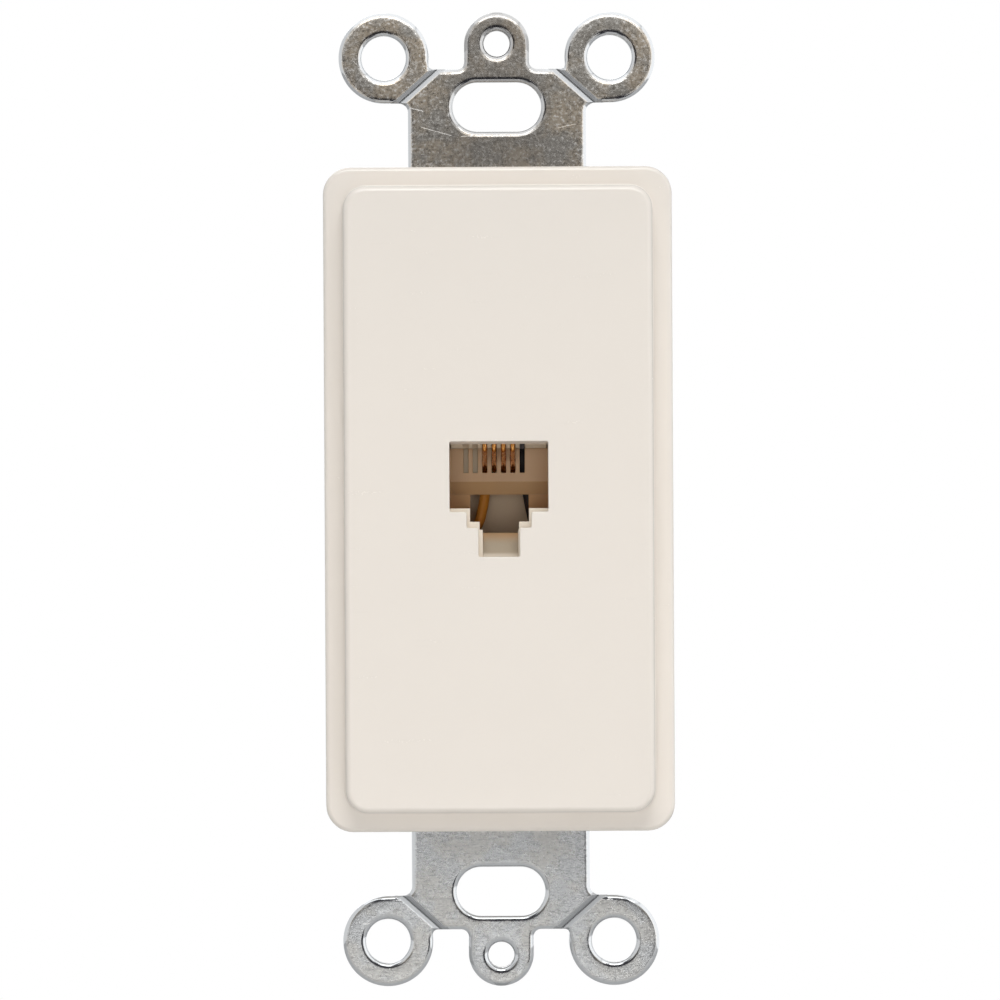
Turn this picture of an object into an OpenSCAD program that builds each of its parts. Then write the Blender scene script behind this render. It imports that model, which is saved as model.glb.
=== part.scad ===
// Flush telephone wall socket on a steel mounting strap.
// X runs across, Z runs up and the front faces -Y.
// The origin lies on the strap's rear face, midway between the two oval screw slots.

/* [Cover] */
// Width of the cover's flange
flange_w = 37; // [36:0.1:39]
// Height of the cover's flange
flange_h = 70.5; // [69:0.1:73]
// Thickness of the flange in front of the strap
flange_t = 2.4; // [2:0.1:3.2]
// Corner radius of the flange
flange_r = 2.9; // [1.5:0.1:4]
// Width of the raised face
face_w = 33.2; // [32.4:0.1:34]
// Height of the raised face
face_h = 66.3; // [65:0.1:67]
// Height of the raised face above the flange
face_rise = 3.6; // [3:0.1:4.5]
// Corner radius of the raised face
face_r = 2.4; // [1.5:0.1:3.5]
// Rounding of the cover's front edges
cover_edge_r = 0.5; // [0.2:0.05:0.8]
// Thickness of the face's skin
skin_t = 1.8; // [1.5:0.1:2.2]
// Thickness of the cover's side walls
cover_wall = 1.6; // [1.2:0.1:2]
// Thickness of the cover's inner ribs
rib_t = 1.1; // [0.8:0.1:1.5]

/* [Strap] */
// Thickness of the steel
strap_t = 1.3; // [1:0.05:1.6]
// Width of the strap behind the cover
strap_w = 33; // [32.5:0.1:34]
// Height of the wide part of the strap
strap_h = 66; // [65.5:0.1:67]
// Width of the strap's neck
neck_w = 18.9; // [17.5:0.1:19.6]
// Distance between the two oval screw slots
slot_pitch = 83.34; // [83:0.01:84]
// Length of an oval slot
slot_l = 9.4; // [8:0.1:10]
// Width of an oval slot
slot_w = 5.2; // [4.4:0.1:5.4]
// Distance between the two cover-plate screw holes
plate_pitch = 96.84; // [96.4:0.01:97.4]
// Bore of the cover-plate screw hole
plate_bore = 2.75; // [2.5:0.05:3]
// Radius of the tab round the cover-plate screw hole
tab_r = 3.3; // [3:0.1:3.6]
// Height of the drawn collar behind the cover-plate screw hole
collar_h = 1.2; // [0.8:0.1:1.6]
// Distance between the ears, across
ear_pitch_x = 24; // [23.6:0.1:25]
// Distance between the ears, along
ear_pitch_z = 93.8; // [93.4:0.1:94.4]
// Radius of an ear
ear_r = 4.8; // [4.5:0.1:5]
// Bore of an ear
ear_bore = 4.7; // [4:0.1:5]
// Radius that stamping rolls onto the front edges
roll_r = 0.4; // [0.2:0.05:0.5]
// Width of a score groove at an ear
groove_w = 1.1; // [0.6:0.1:1.3]
// Depth of a score groove
groove_d = 0.45; // [0.3:0.05:0.6]

/* [Jack] */
// Width of the plug opening
plug_w = 10.44; // [10:0.02:10.8]
// Top of the plug opening above the socket's centre
plug_top = 6.1; // [5.9:0.1:6.4]
// Bottom of the plug opening below the centre
plug_floor = 1.35; // [1.3:0.01:1.5]
// Width of the middle step of the opening
step_w = 6.86; // [6.4:0.02:7.2]
// Bottom of the middle step below the centre
step_floor = 3.04; // [2.9:0.02:3.2]
// Width of the latch channel
latch_w = 4.38; // [4:0.02:4.8]
// Bottom of the latch channel below the centre
latch_floor = 6.11; // [6:0.01:6.4]
// Width of the jack's rim that shows inside the cover's opening
rim_w = 0.36; // [0.2:0.02:0.5]
// Depth of the blind comb slots that hold no contact
blind_d = 0.5; // [0.3:0.1:0.8]
// Thickness of the jack's front land
land_t = 1.4; // [1:0.1:1.8]
// Depth from the cover's face to the comb wall
cavity_depth = 11.7; // [11.2:0.1:12.2]
// Thickness of the comb wall
comb_t = 1.6; // [1.4:0.1:1.9]
// Depth of the wiring chamber behind the comb wall
chamber_depth = 5.5; // [5:0.1:6.5]
// Thickness of the jack's walls
jack_wall = 1.6; // [1.3:0.1:1.9]
// Thickness of the jack's collar in front of the strap
jack_collar_t = 1.5; // [1.2:0.1:1.8]
// Overhang of the jack's collar on the strap
jack_collar_w = 1.5; // [1:0.1:2]

/* [Contacts] */
// Distance between neighbouring contacts
contact_pitch = 1; // [0.95:0.01:1.05]
// Diameter of a contact wire
wire_d = 0.46; // [0.36:0.02:0.5]
// Width of a comb slot
comb_slot_w = 0.54; // [0.52:0.02:0.6]
// Height of the comb slots
comb_slot_h = 2.6; // [2.2:0.1:2.8]
// Drop of the carrier's nose below the top of the opening
nose_drop = 0.7; // [0.5:0.1:0.9]
// Height of the contact carrier
carrier_h = 2.6; // [2.4:0.1:3]
// Diameter of a crimped sleeve
sleeve_d = 1.4; // [1.3:0.05:1.5]
// Diameter of a lead over its insulation
lead_d = 1.1; // [0.9:0.05:1.15]

/* [Terminals] */
// Free space between the jack's sleeve and a lug's barrel
lead_space = 1.2; // [1:0.1:1.5]
// Free space between the jack's sleeve and the terminal plates, up and down
plate_space = 1.7; // [1.5:0.1:2.5]
// Thickness of the terminal base's deck with its skirt
deck_h = 4.5; // [4:0.1:5]
// Thickness of the base's walls
base_wall = 1.5; // [1.2:0.1:1.7]
// Height of the barrier walls on the deck
barrier_h = 2.5; // [1.5:0.1:3]
// Thickness of the barrier walls
barrier_w = 1; // [0.8:0.1:1.2]
// Side of a square terminal plate
terminal_plate_w = 7.1; // [6.6:0.1:7.3]
// Thickness of a terminal plate
terminal_plate_t = 0.8; // [0.6:0.1:1]
// Diameter of a terminal screw's thread
terminal_screw_d = 3.4; // [3:0.1:3.5]
// Diameter of a terminal screw's head
terminal_head_d = 6; // [5.6:0.1:6.4]
// Height of a terminal screw's head
terminal_head_h = 2.1; // [1.8:0.1:2.4]
// Width of the slot in a terminal screw
terminal_slot_w = 0.9; // [0.7:0.1:1.1]
// Thickness of a spade lug
lug_t = 0.5; // [0.4:0.05:0.6]
// Free space between the base's body and the head of an assembly screw
assembly_space = 2.9; // [2:0.1:3.5]
// Diameter of an assembly screw's thread
assembly_screw_d = 2.6; // [2.4:0.1:2.8]
// Diameter of an assembly screw's head
assembly_head_d = 5.2; // [4.8:0.1:5.6]
// Height of an assembly screw's head
assembly_head_h = 1.9; // [1.6:0.1:2.2]
// Width of the slot in an assembly screw
assembly_slot_w = 0.8; // [0.6:0.1:1]
// Thickness of the rear cap
cap_t = 1.5; // [1.2:0.1:2]

/* [Hidden] */
$fn = 48;
LEAD_NAMES = ["yellow", "green", "red", "black"];

// Depths along Y, from the front to the back
strap_y = -strap_t;
flange_y = strap_y - flange_t;
face_y = flange_y - face_rise;
skin_y = face_y + skin_t;
land_y = skin_y + land_t;
comb_y = face_y + cavity_depth;
chamber_y = comb_y + comb_t;
cap_y = chamber_y + chamber_depth;
rear_y = cap_y + cap_t;
collar_y = strap_y - jack_collar_t;

// Running clearances between seated pieces
seat_gap = 0.15;
jack_gap = 0.3;
thread_gap = 0.05;
cut = 0.5;

// Jack housing seen from the front
carrier_z = plug_top - nose_drop;
carrier_top = carrier_z + carrier_h;
jack_w = plug_w + 2 * jack_wall;
jack_top = carrier_top + seat_gap + jack_wall;
jack_bottom = -latch_floor - jack_wall;
jack_h = jack_top - jack_bottom;
jack_mid = (jack_top + jack_bottom) / 2;
window_w = step_w - 2 * rim_w;
window_top = 0.48;
ramp_top = -latch_floor + 2.5;
ramp_run = 6;
band_h = 1.35;
band_d = 0.8;
rim_floor = 0.37;
latch_shift = 0.2;
notch_h = 0.85;

// Strap outline
slot_z = slot_pitch / 2;
tab_z = plate_pitch / 2;
ear_x = ear_pitch_x / 2;
ear_z = ear_pitch_z / 2;
web_low = ear_z - ear_r;
shoulder_drop = 1.2;
shoulder_z = ear_z - shoulder_drop;
neck_fillet = 1;
tab_fillet = 0.8;
strap_r = 1.5;
// Score groove, from its start on the web to its end on the shoulder, measured in from the ear's centre
score_start = 1.95;
score_rise = 0.3;
score_end = 5.5;
score_overrun = 1.2;
score_floor_w = 0.1;

// Contact wires, numbered from the left as seen from the front
nose_y = land_y + 0.1;
wire_top = carrier_top - 0.1 - wire_d / 2;
wire_front = nose_y + 0.1 + wire_d / 2;
wire_low = carrier_z - wire_d / 2 + 0.1;
wire_end = carrier_z - comb_slot_h + 0.65;
channel_w = wire_d + 0.12;
contact_x = [for (i = [0 : 3]) (i - 1.5) * contact_pitch];
comb_x = [for (i = [-3.5 : 2.5]) i * contact_pitch];
sleeve_x = [-1.5, -0.8, 0.8, 2.5];
sleeve_back = [0.95, 2.45, 2.45, 0.95];
sleeve_top = carrier_z + 1.8;
sleeve_l = 1.8;

// Terminals: their places follow from the jack's sleeve, and the base's size from theirs
deck_y = deck_h;
plate_sink = 0.3;
plate_y = deck_y - plate_sink;
lug_y = plate_y + terminal_plate_t;
head_y = lug_y + lug_t;
barrel_wall = 0.4;
barrel_d = lead_d + 2 * barrel_wall;
barrel_y = lug_y + barrel_d / 2;
barrel_l = 3;
barrel_z = 5;
terminal_x = jack_w / 2 + jack_gap + base_wall + lead_space + barrel_d / 2;
terminal_z = jack_top + jack_gap + base_wall + plate_space + terminal_plate_w / 2;
base_w = 2 * (terminal_x + terminal_plate_w / 2 + seat_gap + barrier_w);
base_h = 2 * (terminal_z + terminal_plate_w / 2 + seat_gap + barrier_w);
base_r = 2;
barrier_reach = 5;
screw_skin = 0.8;
screw_tip_y = 1.2;
screw_turn = 35;
deck_skin = 2;
core_wall = 1.4;

// Assembly screws
assembly_z = base_h / 2 + assembly_space + assembly_head_d / 2;
assembly_bore = assembly_screw_d + 0.8;
boss_d = assembly_screw_d + 3;
tongue_r = 4.5;

// Routes of the leads from the sleeves to the spade lugs
exit_high = 1.9;
exit_low = -4.8;
exit_y = 7.6;
exit_w = lead_d + 0.5;
lug_end = terminal_z - barrel_z - barrel_l;
cap_key = 0.8;
cap_recess = 0.6;
YELLOW_ROUTE = [[-1.5, 4.2], [-1.4, 2.4], [-1.5, 0.5], [-1.8, -1.2], [-2.4, -2.9]];
BLACK_ROUTE = [[2.5, 4.2], [2.7, 2.2], [3.1, 0.4], [3.4, -1.2], [3.7, -2.6]];
INNER_ROUTE = [[0.8, 4.2], [1, 2.9], [2.1, 2], [3.9, 1.8]];

function unit(v) = v / norm(v);

// Catmull-Rom curve through a list of points, with a number of steps to each span
function curve_point(a, b, c, d, t) =
    0.5 * (2 * b + (c - a) * t + (2 * a - 5 * b + 4 * c - d) * t * t
    + (3 * b - a - 3 * c + d) * t * t * t);
function curve(p, steps) = concat(
    [for (i = [0 : len(p) - 2], s = [0 : steps - 1])
        curve_point(p[max(i - 1, 0)], p[i], p[i + 1], p[min(i + 2, len(p) - 1)], s / steps)],
    [p[len(p) - 1]]);

// Straight runs joined by bends, each bend a quadratic curve that starts a set distance off
function bent(p, reach, steps) = concat(
    [p[0]],
    [for (i = [1 : len(p) - 2], s = [0 : steps])
        let (a = p[i] + unit(p[i - 1] - p[i]) * reach,
             b = p[i] + unit(p[i + 1] - p[i]) * reach,
             t = s / steps)
        (1 - t) * (1 - t) * a + 2 * t * (1 - t) * p[i] + t * t * b],
    [p[len(p) - 1]]);

// Normals carried along a path without twist
function carried(tangents, first) =
    [for (i = 0, n = unit(first - (first * tangents[0]) * tangents[0]);
          i < len(tangents);
          i = i + 1,
          n = i < len(tangents) ? unit(n - (n * tangents[i]) * tangents[i]) : n)
        n];

// Round tube swept along a path
module swept(path, d, sides, first) {
    last = len(path) - 1;
    tangents = [for (i = [0 : last])
        unit(path[min(i + 1, last)] - path[max(i - 1, 0)])];
    normals = carried(tangents, first);
    points = [for (i = [0 : last], k = [0 : sides - 1])
        path[i] + d / 2 * (cos(360 * k / sides) * normals[i]
            + sin(360 * k / sides) * cross(tangents[i], normals[i]))];
    walls = [for (i = [0 : last - 1], k = [0 : sides - 1])
        let (m = (k + 1) % sides, a = i * sides, b = a + sides)
        each [[a + k, b + k, b + m], [a + k, b + m, a + m]]];
    near = [for (k = [0 : sides - 1]) k];
    far = [for (k = [sides - 1 : -1 : 0]) last * sides + k];
    polyhedron(points, concat(walls, [near, far]));
}

// Flat shape drawn as seen from the front, filling the depth from y0 back to y1
module slab(y0, y1) {
    translate([0, y1, 0])
        rotate([90, 0, 0])
            linear_extrude(y1 - y0)
                children();
}

// Rectangle between two corners, as seen from the front
module pane(x0, z0, x1, z1) {
    translate([x0, z0])
        square([x1 - x0, z1 - z0]);
}

module rounded_pane(w, h, r) {
    square([w, h - 2 * r], center = true);
    square([w - 2 * r, h], center = true);
    for (x = [-1, 1], z = [-1, 1])
        translate([x * (w / 2 - r), z * (h / 2 - r)])
            circle(r);
}

// Bar along Z that rises to the front, with its two front edges rounded
module bar(w, l, t, edge) {
    linear_extrude(l, center = true)
        mirror([0, 1]) {
            translate([-w / 2, 0])
                square([w, t - edge]);
            translate([-w / 2 + edge, 0])
                square([w - 2 * edge, t]);
            for (side = [-1, 1])
                translate([side * (w / 2 - edge), t - edge])
                    circle(edge);
        }
}

// Disc that rises to the front, with its front edge rounded
module disc(r, t, edge) {
    rotate([90, 0, 0])
        rotate_extrude() {
            square([r, t - edge]);
            square([r - edge, t]);
            translate([r - edge, t - edge])
                intersection() {
                    circle(edge);
                    square(edge);
                }
        }
}

// Rectangular block with round corners and rounded front edges, its back at y = 0
module block(w, h, t, r, edge) {
    bar(w, h - 2 * r, t, edge);
    rotate([0, 90, 0])
        bar(h, w - 2 * r, t, edge);
    for (x = [-1, 1], z = [-1, 1])
        translate([x * (w / 2 - r), 0, z * (h / 2 - r)])
            disc(r, t, edge);
}

// Opening in the cover, in three steps, each grown outwards by the same amount
module plug_outline(side, low, shift) {
    pane(-plug_w / 2, -plug_floor + low, plug_w / 2, plug_top);
    pane(-step_w / 2 + side, -step_floor + 1.75 * low, step_w / 2 - side + shift / 2, 0);
    pane(-latch_w / 2 + side + shift / 2, -latch_floor, latch_w / 2 - side + shift, 0);
}

module jack_outline(grow) {
    translate([0, jack_mid])
        square([jack_w + 2 * grow, jack_h + 2 * grow], center = true);
}

// Cover

module cover_ribs() {
    slab(skin_y, collar_y)
        difference() {
            jack_outline(jack_gap + rib_t);
            jack_outline(jack_gap);
        }
    for (z = [-assembly_z, assembly_z]) {
        translate([0, strap_y, z])
            rotate([90, 0, 0])
                cylinder(h = strap_y - skin_y, d = boss_d);
        slab(skin_y, collar_y)
            pane(-rib_t / 2, min(z, jack_mid + sign(z) * (jack_h / 2 + jack_gap)),
                 rib_t / 2, max(z, jack_mid + sign(z) * (jack_h / 2 + jack_gap)));
        slab(skin_y, collar_y)
            pane(-face_w / 2 + cover_wall / 2, z - rib_t / 2, face_w / 2 - cover_wall / 2, z + rib_t / 2);
    }
}

module face_cover() {
    color("#EAE2D7")
        difference() {
            union() {
                difference() {
                    union() {
                        translate([0, strap_y, 0])
                            block(flange_w, flange_h, flange_t, flange_r, cover_edge_r);
                        translate([0, strap_y, 0])
                            block(face_w, face_h, flange_t + face_rise, face_r, cover_edge_r);
                    }
                    slab(skin_y, strap_y + cut)
                        rounded_pane(face_w - 2 * cover_wall, face_h - 2 * cover_wall,
                                     max(face_r - cover_wall, 0.3));
                }
                cover_ribs();
            }
            slab(face_y - cut, skin_y + cut)
                plug_outline(0, 0, 0);
            for (z = [-assembly_z, assembly_z])
                translate([0, strap_y + cut, z])
                    rotate([90, 0, 0])
                        cylinder(h = strap_y - skin_y + cut + skin_t / 3,
                                 d = assembly_screw_d + 2 * thread_gap);
        }
}

// Strap

// Hole cutter whose front rim flares like a punched edge
module punch(r, flare) {
    translate([0, cut, 0])
        rotate([90, 0, 0])
            cylinder(h = strap_t + 2 * cut, r = r);
    translate([0, strap_y, 0])
        rotate([90, 0, 0])
            translate([0, 0, -flare])
                cylinder(h = flare + cut, r1 = r, r2 = r + flare + cut);
}

// Inside corner filled out to a round, up to where the front edges start to roll
module inside_corner(r) {
    slab(strap_y + roll_r, 0)
        difference() {
            square(r);
            translate([r, r])
                circle(r);
        }
}

module strap_end() {
    // Neck, web between the ears, ears and tab
    translate([0, 0, (strap_h / 2 + shoulder_z) / 2 - 1])
        bar(neck_w, shoulder_z - strap_h / 2, strap_t, roll_r);
    translate([0, 0, (web_low + shoulder_z) / 2])
        rotate([0, 90, 0])
            bar(shoulder_z - web_low, ear_pitch_x, strap_t, roll_r);
    for (x = [-ear_x, ear_x])
        translate([x, 0, ear_z])
            disc(ear_r, strap_t, roll_r);
    translate([0, 0, (tab_z + slot_z) / 2])
        bar(2 * tab_r, tab_z - slot_z, strap_t, roll_r);
    translate([0, 0, tab_z])
        disc(tab_r, strap_t, roll_r);
    for (side = [0, 1])
        mirror([side, 0, 0]) {
            translate([tab_r, 0, shoulder_z])
                inside_corner(tab_fillet);
            translate([neck_w / 2, 0, web_low])
                mirror([0, 0, 1])
                    inside_corner(neck_fillet);
            translate([neck_w / 2, 0, strap_h / 2])
                inside_corner(neck_fillet);
        }
    translate([0, 0, tab_z])
        rotate([-90, 0, 0])
            cylinder(h = collar_h, d1 = plate_bore + 1.8, d2 = plate_bore + 1.3);
}

module strap_end_cuts() {
    end_x = slot_l / 2 - slot_w / 2;
    for (x = [-end_x, end_x])
        translate([x, 0, slot_z])
            punch(slot_w / 2, roll_r / 2);
    slab(strap_y - cut, cut)
        pane(-end_x, slot_z - slot_w / 2, end_x, slot_z + slot_w / 2);
    for (x = [-ear_x, ear_x])
        translate([x, 0, ear_z])
            punch(ear_bore / 2, roll_r / 2);
    translate([0, 0, tab_z])
        punch(plate_bore / 2, roll_r);
    translate([0, collar_h + cut, tab_z])
        rotate([90, 0, 0])
            cylinder(h = collar_h + 2 * cut, d = plate_bore);
    for (side = [0, 1])
        mirror([side, 0, 0])
            ear_groove();
}

// Score groove that lets an ear be snapped off, cut square to the line between its ends
module ear_groove() {
    low = [ear_x - score_start, web_low + score_rise];
    high = [ear_x - score_end, shoulder_z];
    run = high - low;
    translate([low[0], strap_y, low[1]])
        rotate([0, -atan2(run[1], run[0]), 0])
            rotate([90, 0, 90])
                translate([0, 0, -score_overrun])
                    linear_extrude(norm(run) + 2 * score_overrun)
                        polygon([[-cut, -groove_w / 2 - cut / 2], [-cut, groove_w / 2 + cut / 2],
                                 [0, groove_w / 2], [groove_d, score_floor_w / 2],
                                 [groove_d, -score_floor_w / 2], [0, -groove_w / 2]]);
}

module mounting_strap() {
    color("#B9B7B2")
        difference() {
            union() {
                block(strap_w, strap_h, strap_t, strap_r, roll_r);
                for (end = [0, 1])
                    mirror([0, 0, end])
                        strap_end();
            }
            for (end = [0, 1])
                mirror([0, 0, end])
                    strap_end_cuts();
            slab(strap_y - cut, cut)
                jack_outline(jack_gap);
            for (z = [-assembly_z, assembly_z])
                translate([0, cut, z])
                    rotate([90, 0, 0])
                        cylinder(h = strap_t + 2 * cut, d = assembly_bore);
        }
}

// Jack

module jack_body() {
    color("#CBBBA4")
        difference() {
            union() {
                slab(skin_y, cap_y)
                    jack_outline(0);
                slab(collar_y, strap_y)
                    jack_outline(jack_collar_w);
            }
            // Front land with its own smaller opening, which is a little wider where the latch enters
            difference() {
                slab(skin_y - cut, land_y + cut) {
                    plug_outline(rim_w, rim_floor, latch_shift);
                    pane(-latch_w / 2 + rim_w / 2 - latch_shift / 4, -step_floor + 1.75 * rim_floor - notch_h,
                         latch_w / 2 - rim_w / 2 + latch_shift / 2, 0);
                }
                latch_ramp();
            }
            // Plug cavity and the pocket that the latch springs into
            slab(land_y, comb_y)
                pane(-plug_w / 2, -plug_floor + rim_floor, plug_w / 2, plug_top);
            slab(land_y, comb_y)
                pane(-window_w / 2, ramp_top, window_w / 2 + latch_shift / 2, 0);
            // Latch channel with its ramp
            difference() {
                slab(land_y, comb_y)
                    pane(-latch_w / 2 + rim_w + latch_shift / 2, -latch_floor,
                         latch_w / 2 - rim_w + latch_shift, 0);
                latch_ramp();
            }
            // Space for the carrier, open at the back
            slab(land_y, cap_y + cut)
                pane(-plug_w / 2, carrier_z, plug_w / 2, carrier_top + seat_gap);
            // Wiring chamber, open at the back
            slab(chamber_y, cap_y + cut)
                pane(-plug_w / 2, jack_bottom + jack_wall, plug_w / 2, carrier_top + seat_gap);
            // Window below the comb wall, and the sloping band above it
            slab(comb_y - cut, chamber_y + cut)
                pane(-window_w / 2, ramp_top, window_w / 2 + latch_shift / 2, window_top);
            slab(comb_y - cut, comb_y + band_d)
                pane(-plug_w / 2, -plug_floor + rim_floor, plug_w / 2, window_top);
            translate([-plug_w / 2, 0, 0])
                rotate([90, 0, 90])
                    linear_extrude(plug_w)
                        polygon([[comb_y - cut, window_top], [comb_y + band_d, window_top],
                                 [comb_y, window_top + band_h],
                                 [comb_y - cut, window_top + band_h]]);
            // Comb slots, the first two of them blind
            for (i = [0 : len(comb_x) - 1])
                slab(comb_y - cut, i < 2 ? comb_y + blind_d : chamber_y + cut)
                    pane(comb_x[i] - comb_slot_w / 2, carrier_z - comb_slot_h,
                         comb_x[i] + comb_slot_w / 2, carrier_z + cut);
            lead_exits(0, plug_w / 2 - cut, jack_w / 2 + cut);
        }
}

// Ramp that lifts a plug's latch as it slides in
module latch_ramp() {
    translate([-step_w, 0, 0])
        rotate([90, 0, 90])
            linear_extrude(2 * step_w)
                polygon([[skin_y - 2 * cut, -latch_floor - cut], [skin_y - 2 * cut, -latch_floor],
                         [skin_y, -latch_floor], [skin_y + ramp_run, ramp_top],
                         [comb_y + cut, ramp_top], [comb_y + cut, -latch_floor - cut]]);
}

// Slots in the side walls where the leads leave the chamber, open at the back
module lead_exits(grow, x0, x1) {
    for (side = [0, 1], z = [exit_low, exit_high])
        mirror([side, 0, 0]) {
            slab(exit_y, rear_y + cut)
                pane(x0, z - exit_w / 2 - grow, x1, z + exit_w / 2 + grow);
            translate([x0, exit_y, z])
                rotate([0, 90, 0])
                    cylinder(h = x1 - x0, d = exit_w + 2 * grow);
        }
}

module contact_carrier() {
    color("#B8A88F")
        difference() {
            translate([-plug_w / 2 + seat_gap, 0, 0])
                rotate([90, 0, 90])
                    linear_extrude(plug_w - 2 * seat_gap)
                        polygon([[nose_y, carrier_z + nose_drop / 2], [nose_y + nose_drop, carrier_z],
                                 [chamber_y, carrier_z], [chamber_y, carrier_top],
                                 [nose_y + 0.6, carrier_top], [nose_y, carrier_top - 0.6]]);
            for (x = comb_x)
                translate([x, 0, 0])
                    carrier_channel();
        }
}

// Channel that guides one wire over the top, down the nose and back under it
module carrier_channel() {
    translate([-channel_w / 2, 0, 0])
        rotate([90, 0, 90])
            linear_extrude(channel_w) {
                translate([nose_y - cut, wire_top - wire_d / 2 - 0.06])
                    square([chamber_y - nose_y + 2 * cut, wire_d + 1]);
                translate([nose_y - cut, carrier_z - cut])
                    square([wire_front - nose_y + wire_d / 2 + 0.06 + cut, carrier_h + 2 * cut]);
                polygon([[nose_y - cut, carrier_z - cut], [wire_front + 2.4, carrier_z - cut],
                         [wire_front + 2.4, carrier_z], [wire_front + 0.2, carrier_z + 0.9],
                         [nose_y - cut, carrier_z + 0.9]]);
            }
}

// Spring wire: along the carrier's top, round its nose and back down to its comb slot
module contact_wire(i) {
    x = contact_x[i];
    route = [[sleeve_x[i], chamber_y + sleeve_back[i], sleeve_top - 0.5],
             [sleeve_x[i], chamber_y + sleeve_back[i], wire_top],
             [x, chamber_y + 0.25, wire_top],
             [x, wire_front, wire_top],
             [x, wire_front, wire_low],
             [x, comb_y + 0.9, wire_end]];
    color("#C68A4A")
        swept(bent(route, 0.42, 4), wire_d, 12, [1, 0, 0]);
}

module splice_sleeves() {
    color("#B08D57")
        for (i = [0 : 3])
            translate([sleeve_x[i], chamber_y + sleeve_back[i], sleeve_top - sleeve_l])
                difference() {
                    cylinder(h = sleeve_l, d = sleeve_d);
                    translate([0, 0, -cut])
                        cylinder(h = sleeve_l / 2 + cut, d = lead_d + thread_gap);
                    translate([0, 0, -cut])
                        cylinder(h = sleeve_l + 2 * cut, d = wire_d + 2 * thread_gap);
                }
}

// Leads

// Where a lead starts in its sleeve, and the run outside the housing to its lug
function lead_start(i) = [[sleeve_x[i], chamber_y + sleeve_back[i], sleeve_top - sleeve_l / 2 - 0.1],
                          [sleeve_x[i], chamber_y + sleeve_back[i], sleeve_top - sleeve_l - 0.6]];
function lead_finish(side, up, z) = [
    [side * 8.2, exit_y, z],
    [side * (terminal_x - 1), exit_y, z + up * 0.5],
    [side * (terminal_x + 0.4), (exit_y + barrel_y) / 2, up * (lug_end - 3)],
    [side * terminal_x, barrel_y, up * (lug_end - 1.4)],
    [side * terminal_x, barrel_y, up * (lug_end - 0.5)],
    [side * terminal_x, barrel_y, up * (lug_end + barrel_l * 0.7)]];

module lead(i, tone) {
    side = i < 2 ? -1 : 1;
    up = i == 0 || i == 3 ? -1 : 1;
    back = chamber_y + sleeve_back[i];
    inner = i == 0 ? YELLOW_ROUTE : i == 3 ? BLACK_ROUTE : [for (p = INNER_ROUTE) [side * p[0], p[1]]];
    middle = [for (p = inner) [p[0], back, p[1]]];
    level = up > 0 ? exit_high : exit_low;
    turn = [[side * 4.3, (back + 2 * exit_y) / 3, up > 0 ? level : level + 0.3], [side * 5.6, exit_y, level]];
    points = concat(lead_start(i), middle, turn, lead_finish(side, up, level));
    color(tone)
        swept(curve(points, 3), lead_d, 8, [1, 0, 0]);
}

// Fork that slips under the screw head, with a barrel crimped on the lead
module spade_lug(side, up) {
    fork_r = terminal_head_d / 2 + 0.1;
    gap_r = terminal_screw_d / 2 + 4 * thread_gap;
    color("#C9C4B8")
        translate([side * terminal_x, 0, up * terminal_z])
            mirror([0, 0, up > 0 ? 0 : 1]) {
                slab(lug_y, head_y)
                    difference() {
                        union() {
                            circle(fork_r);
                            pane(-barrel_d / 2, -barrel_z, barrel_d / 2, 0);
                        }
                        circle(gap_r);
                        pane(-gap_r, 0, gap_r, fork_r + cut);
                    }
                translate([0, barrel_y, -barrel_z - barrel_l])
                    difference() {
                        cylinder(h = barrel_l, d = barrel_d);
                        translate([0, 0, -cut])
                            cylinder(h = barrel_l + 2 * cut, d = lead_d + thread_gap);
                    }
                slab(lug_y, lug_y + lug_t / 2)
                    pane(-barrel_d / 4, -barrel_z - barrel_wall / 2, barrel_d / 4, -barrel_z + barrel_wall / 2);
            }
}

// Terminals

module terminal_plate(side, up) {
    color("#C9A24B")
        slab(plate_y, lug_y)
            translate([side * terminal_x, up * terminal_z])
                difference() {
                    rounded_pane(terminal_plate_w, terminal_plate_w, 0.5);
                    circle(d = terminal_screw_d + 2 * thread_gap);
                }
}

// Pan head screw with a straight slot, its head at the back
module pan_screw(head_d, head_h, thread_d, thread_l, slot) {
    rotate([-90, 0, 0])
        difference() {
            rotate_extrude()
                union() {
                    translate([0, -thread_l])
                        square([thread_d / 2, thread_l + 0.1]);
                    square([head_d / 2, head_h * 0.5]);
                    square([head_d / 2 - head_h * 0.5, head_h]);
                    translate([head_d / 2 - head_h * 0.5, head_h * 0.5])
                        intersection() {
                            circle(head_h * 0.5);
                            square(head_h * 0.5);
                        }
                }
            translate([-head_d, -slot / 2, head_h * 0.5])
                cube([2 * head_d, slot, head_h]);
        }
}

module terminal_screw(side, up) {
    color("#C9A24B")
        translate([side * terminal_x, head_y, up * terminal_z])
            rotate([0, screw_turn * side * up, 0])
                pan_screw(terminal_head_d, terminal_head_h, terminal_screw_d, head_y - screw_tip_y,
                          terminal_slot_w);
}

module assembly_screw(up) {
    color("#A9A9A6")
        translate([0, deck_y, up * assembly_z])
            pan_screw(assembly_head_d, assembly_head_h, assembly_screw_d, deck_y - skin_y, assembly_slot_w);
}

module base_outline(inset) {
    rounded_pane(base_w - 2 * inset, base_h - 2 * inset, base_r - inset);
}

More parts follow.
